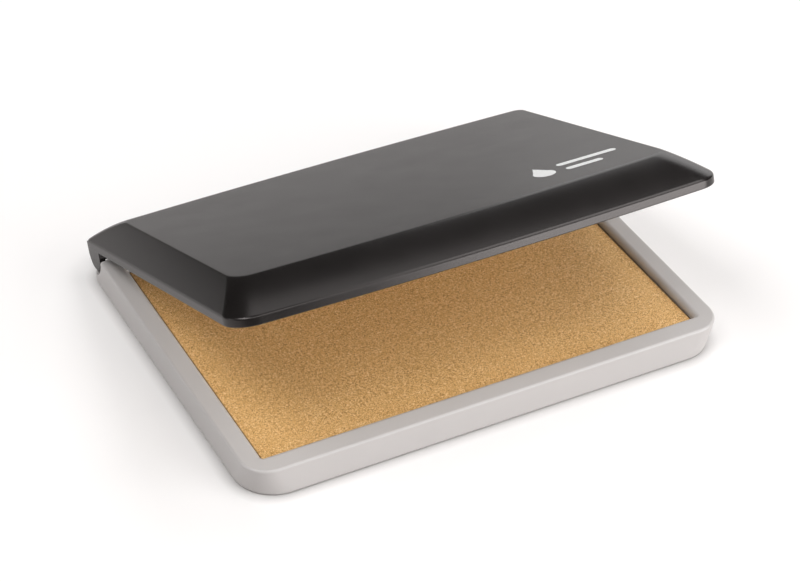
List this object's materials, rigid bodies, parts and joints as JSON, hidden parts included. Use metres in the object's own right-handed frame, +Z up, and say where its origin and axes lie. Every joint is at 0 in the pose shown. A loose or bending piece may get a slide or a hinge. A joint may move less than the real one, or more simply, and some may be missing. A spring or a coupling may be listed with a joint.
{
  "type": "hinged ink pad",
  "caption": "Hinged ink pad: a flat grey tray with a recessed gold cloth pad, and a dark bevelled lid that opens on a rear hinge.",
  "frame": {"origin": "centre of the base tray's underside, on the surface that the pad stands on", "axes": "+Z up; +X along the long side; the lid's hinge is at the rear, +Y, and the lid opens from the front, -Y"},
  "size_m": [0.1196, 0.0927, 0.0454],
  "materials": {
    "warm_grey_plastic": "satin",
    "black_plastic": "fine matt grain",
    "dark_carrier_plastic": "matt",
    "natural_plastic": "smooth, uncoloured",
    "ink_felt": "pressed felt, inked",
    "wick_fleece": "thin fleece, inked",
    "gold_ink_cloth": "fine cloth, metallic gold ink"
  },
  "bodies": {
    "base": {"base_tray": "warm_grey_plastic", "pad_carrier": "dark_carrier_plastic", "ink_felt": "ink_felt", "wick_fleece": "wick_fleece", "ink_cloth": "gold_ink_cloth"},
    "lid": {"lid_shell": "black_plastic", "sealing_plate": "natural_plastic", "hinge_pin_left": "black_plastic", "hinge_pin_right": "black_plastic"}
  },
  "joints": [
    {"name": "lid_hinge", "type": "hinge", "parent": "base", "child": "lid", "pos_m": [0, 0.0419, 0.0065], "axis": [-1, 0, 0], "range_deg": [-22.9, 77]}
  ]
}
